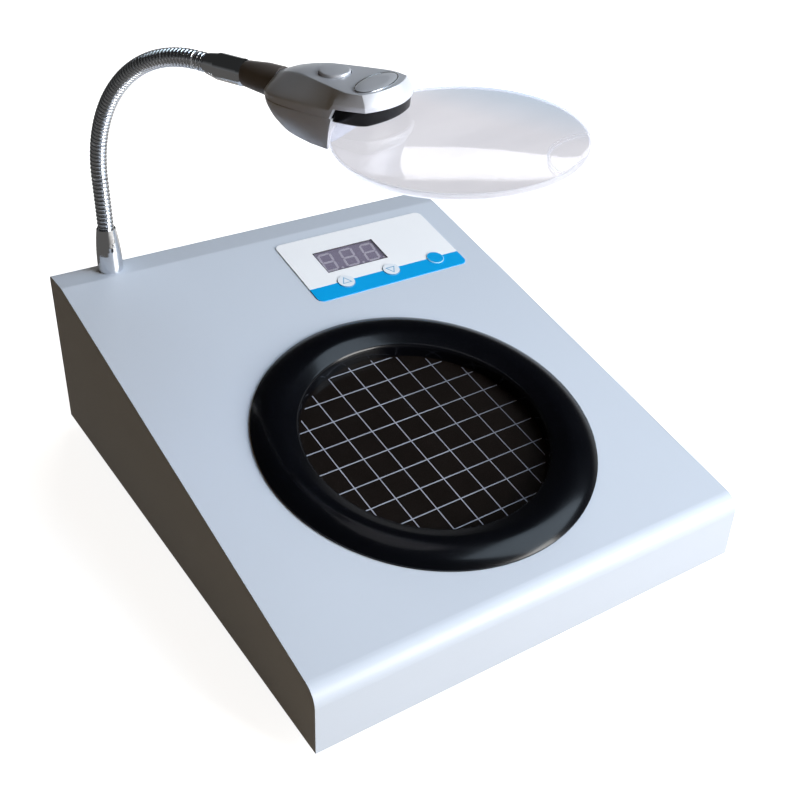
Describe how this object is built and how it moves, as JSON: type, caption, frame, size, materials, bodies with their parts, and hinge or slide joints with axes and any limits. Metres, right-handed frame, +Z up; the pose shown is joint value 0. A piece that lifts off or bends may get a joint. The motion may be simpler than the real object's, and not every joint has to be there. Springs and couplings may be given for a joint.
{
  "type": "colony counter",
  "caption": "Bench colony counter: sloped sheet housing with a lighted dish ring over a ruled plate, key panel with display, and a magnifier lens on a ribbed gooseneck.",
  "frame": {"origin": "centre of the bounding box's bottom, on the surface the feet stand on", "axes": "+X to the right seen from the front, +Y towards the rear, +Z up; the front face looks along -Y"},
  "size_m": [0.217, 0.264, 0.2147],
  "materials": {
    "housing_paint": "satin",
    "base_steel": "satin",
    "foot_rubber": "matte",
    "screw_steel": "satin",
    "ring_black": "gloss",
    "plate_dark": "gloss",
    "line_white": "matte",
    "clamp_metal": "satin",
    "chamber_white": "matte",
    "circuit_green": "satin",
    "lamp_clear": "gloss",
    "panel_film": "satin",
    "window_tint": "gloss",
    "display_grey": "satin",
    "segment_pale": "satin",
    "key_white": "satin",
    "key_blue": "satin",
    "switch_black": "satin",
    "standoff_brass": "satin",
    "power_brown": "satin",
    "power_yellow": "satin",
    "neck_chrome": "polished",
    "stem_grey": "satin",
    "head_silver": "satin",
    "lens_clear": "gloss"
  },
  "bodies": {
    "base": {"housing_shell": "housing_paint", "base_plate": "base_steel", "feet": "foot_rubber", "base_screws": "screw_steel", "dish_ring": "ring_black", "grid_plate": "plate_dark", "grid_lines": "line_white", "ring_clamp": "clamp_metal", "light_chamber": "chamber_white", "light_board": "circuit_green", "ring_lamps": "lamp_clear", "backing_disc": "plate_dark", "ring_screws": "screw_steel", "panel_film": "panel_film", "display_window": "window_tint", "display_module": "display_grey", "display_segments": "segment_pale", "control_board": "circuit_green", "key_switches": "switch_black", "board_standoffs": "standoff_brass", "board_screws": "screw_steel", "mains_inlet": "switch_black", "inlet_pins": "standoff_brass", "inlet_screws": "screw_steel", "switch_frame": "switch_black", "power_board": "power_brown", "power_parts": "power_yellow", "neck_ferrule": "neck_chrome", "neck_nut": "screw_steel", "neck_0": "neck_chrome"},
    "link_1": {"neck_1": "neck_chrome"},
    "link_2": {"neck_2": "neck_chrome"},
    "link_3": {"neck_3": "neck_chrome"},
    "link_4": {"neck_4": "neck_chrome"},
    "link_5": {"neck_5": "neck_chrome"},
    "link_6": {"neck_6": "neck_chrome"},
    "head": {"neck_7": "neck_chrome", "neck_sleeve": "neck_chrome", "head_stem": "stem_grey", "head_upper": "head_silver", "head_lower": "stem_grey", "head_gasket": "switch_black", "head_badge": "head_silver", "head_board": "circuit_green", "head_lamps": "lamp_clear", "head_screws": "screw_steel", "lens": "lens_clear"},
    "light_button": {"head_button": "head_silver"},
    "key_up": {"key_up": "key_white"},
    "key_down": {"key_down": "key_white"},
    "key_reset": {"key_reset": "key_blue"},
    "rocker": {"switch_rocker": "switch_black"}
  },
  "joints": [
    {"name": "neck_bend_1", "type": "hinge", "parent": "base", "child": "link_1", "pos_m": [-0.0803, 0.1205, 0.1345], "axis": [0.9272, 0.3746, 0], "range_deg": [-7.5, 7.5]},
    {"name": "neck_side_1", "type": "hinge", "parent": "link_1", "child": "link_2", "pos_m": [-0.07942, 0.11833, 0.1523], "axis": [-0.3618, 0.8956, 0.2588], "range_deg": [-7.5, 7.5]},
    {"name": "neck_bend_2", "type": "hinge", "parent": "link_2", "child": "link_3", "pos_m": [-0.07685, 0.11196, 0.16888], "axis": [0.9272, 0.3746, 0], "range_deg": [-7.5, 7.5]},
    {"name": "neck_side_2", "type": "hinge", "parent": "link_3", "child": "link_4", "pos_m": [-0.07276, 0.10183, 0.18312], "axis": [-0.2649, 0.6556, 0.7071], "range_deg": [-7.5, 7.5]},
    {"name": "neck_bend_3", "type": "hinge", "parent": "link_4", "child": "link_5", "pos_m": [-0.06742, 0.08863, 0.19404], "axis": [0.9272, 0.3746, 0], "range_deg": [-7.5, 7.5]},
    {"name": "neck_side_3", "type": "hinge", "parent": "link_5", "child": "link_6", "pos_m": [-0.06121, 0.07325, 0.20091], "axis": [-0.097, 0.24, 0.9659], "range_deg": [-7.5, 7.5]},
    {"name": "neck_bend_4", "type": "hinge", "parent": "link_6", "child": "head", "pos_m": [-0.05454, 0.05675, 0.20325], "axis": [0.9272, 0.3746, 0], "range_deg": [-7.5, 7.5]},
    {"name": "light_button_press", "type": "slide", "parent": "head", "child": "light_button", "axis": [0.0727, 0.0294, -0.9969], "range_m": [0, 0.0008], "stiffness_N_per_m": 600, "springref_m": -0.0006},
    {"name": "key_up_press", "type": "slide", "parent": "base", "child": "key_up", "axis": [0, 0.2084, -0.978], "range_m": [0, 0.00035], "stiffness_N_per_m": 800, "springref_m": -0.0004},
    {"name": "key_down_press", "type": "slide", "parent": "base", "child": "key_down", "axis": [0, 0.2084, -0.978], "range_m": [0, 0.00035], "stiffness_N_per_m": 800, "springref_m": -0.0004},
    {"name": "key_reset_press", "type": "slide", "parent": "base", "child": "key_reset", "axis": [0, 0.2084, -0.978], "range_m": [0, 0.00035], "stiffness_N_per_m": 800, "springref_m": -0.0004},
    {"name": "rocker_tilt", "type": "hinge", "parent": "base", "child": "rocker", "pos_m": [0.02, 0.1266, 0.038], "axis": [-1, 0, 0], "range_deg": [0, 16]}
  ]
}
